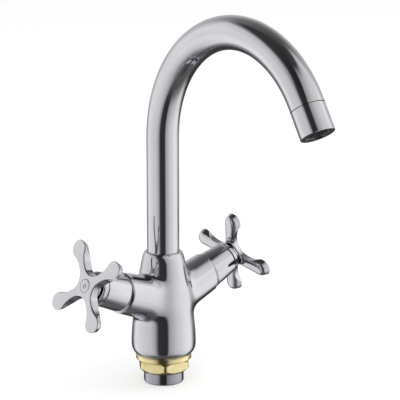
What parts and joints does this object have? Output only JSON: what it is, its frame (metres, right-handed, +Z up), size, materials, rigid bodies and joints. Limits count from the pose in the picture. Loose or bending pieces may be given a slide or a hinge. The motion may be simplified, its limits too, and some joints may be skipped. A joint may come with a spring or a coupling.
{
  "type": "two handle kitchen faucet",
  "caption": "Deck mounted kitchen mixer tap: vase-shaped body with two tilted valve arms, cross handles, a swivelling high arched round spout with aerator, and a clamping nut below.",
  "frame": {"origin": "on the riser's axis in the plane of the body's underside, where the sink deck lies", "axes": "+Z up along the riser; the cold valve's arm points to +X, the hot one's to -X; the spout hangs over -Y, swung 5 degrees towards -X; +Y is the back"},
  "size_m": [0.1724, 0.2109, 0.2815],
  "materials": {
    "chromed_brass": "polished chrome plate on cast brass",
    "chromed_tube": "polished chrome plate on drawn brass tube",
    "chromed_handle": "polished chrome plate on a die casting",
    "plain_brass": "machined, unplated",
    "valve_brass": "machined, unplated",
    "seal_rubber": "matt black",
    "ceramic": "lapped",
    "fibre": "pressed fibre",
    "acetal": "moulded",
    "stainless": "bright"
  },
  "bodies": {
    "faucet_body": {"body": "chromed_brass", "base_gasket": "seal_rubber", "mounting_shank": "chromed_brass", "spout_retaining_screw": "stainless", "hot_seat_seal": "seal_rubber", "hot_fixed_disc": "ceramic", "hot_valve_housing": "valve_brass", "hot_housing_gasket": "fibre", "hot_bonnet_cover": "chromed_brass", "cold_seat_seal": "seal_rubber", "cold_fixed_disc": "ceramic", "cold_valve_housing": "valve_brass", "cold_housing_gasket": "fibre", "cold_bonnet_cover": "chromed_brass"},
    "nut": {"mounting_nut": "plain_brass"},
    "spout": {"spout_tube": "chromed_tube", "spout_nipple": "valve_brass", "spout_o_rings": "seal_rubber", "spout_slip_ring_upper": "acetal", "spout_slip_ring_lower": "acetal", "spout_outlet_ring": "valve_brass", "aerator_housing": "chromed_brass", "aerator_washer": "seal_rubber", "aerator_insert": "acetal", "aerator_spacer": "acetal", "aerator_mesh": "stainless"},
    "hot_handle_and_stem": {"hot_moving_disc": "ceramic", "hot_valve_stem": "valve_brass", "hot_stem_o_rings": "seal_rubber", "hot_stem_thrust_washer": "acetal", "hot_stem_circlip": "stainless", "hot_handle": "chromed_handle", "hot_spline_insert": "acetal", "hot_handle_screw": "stainless", "hot_index_button": "chromed_handle"},
    "cold_handle_and_stem": {"cold_moving_disc": "ceramic", "cold_valve_stem": "valve_brass", "cold_stem_o_rings": "seal_rubber", "cold_stem_thrust_washer": "acetal", "cold_stem_circlip": "stainless", "cold_handle": "chromed_handle", "cold_spline_insert": "acetal", "cold_handle_screw": "stainless", "cold_index_button": "chromed_handle"}
  },
  "joints": [
    {"name": "spout_swivel", "type": "hinge", "parent": "faucet_body", "child": "spout", "pos_m": [0, 0, 0.07], "axis": [0, 0, 1], "continuous": true},
    {"name": "nut_travel", "type": "slide", "parent": "faucet_body", "child": "nut", "axis": [0, 0, -1], "range_m": [0, 0.008]},
    {"name": "hot_valve", "type": "hinge", "parent": "faucet_body", "child": "hot_handle_and_stem", "pos_m": [0, 0, 0.0392], "axis": [-0.9461, 0, 0.3239], "range_deg": [0, 180]},
    {"name": "cold_valve", "type": "hinge", "parent": "faucet_body", "child": "cold_handle_and_stem", "pos_m": [0, 0, 0.0392], "axis": [0.9461, 0, 0.3239], "range_deg": [0, 180]}
  ]
}
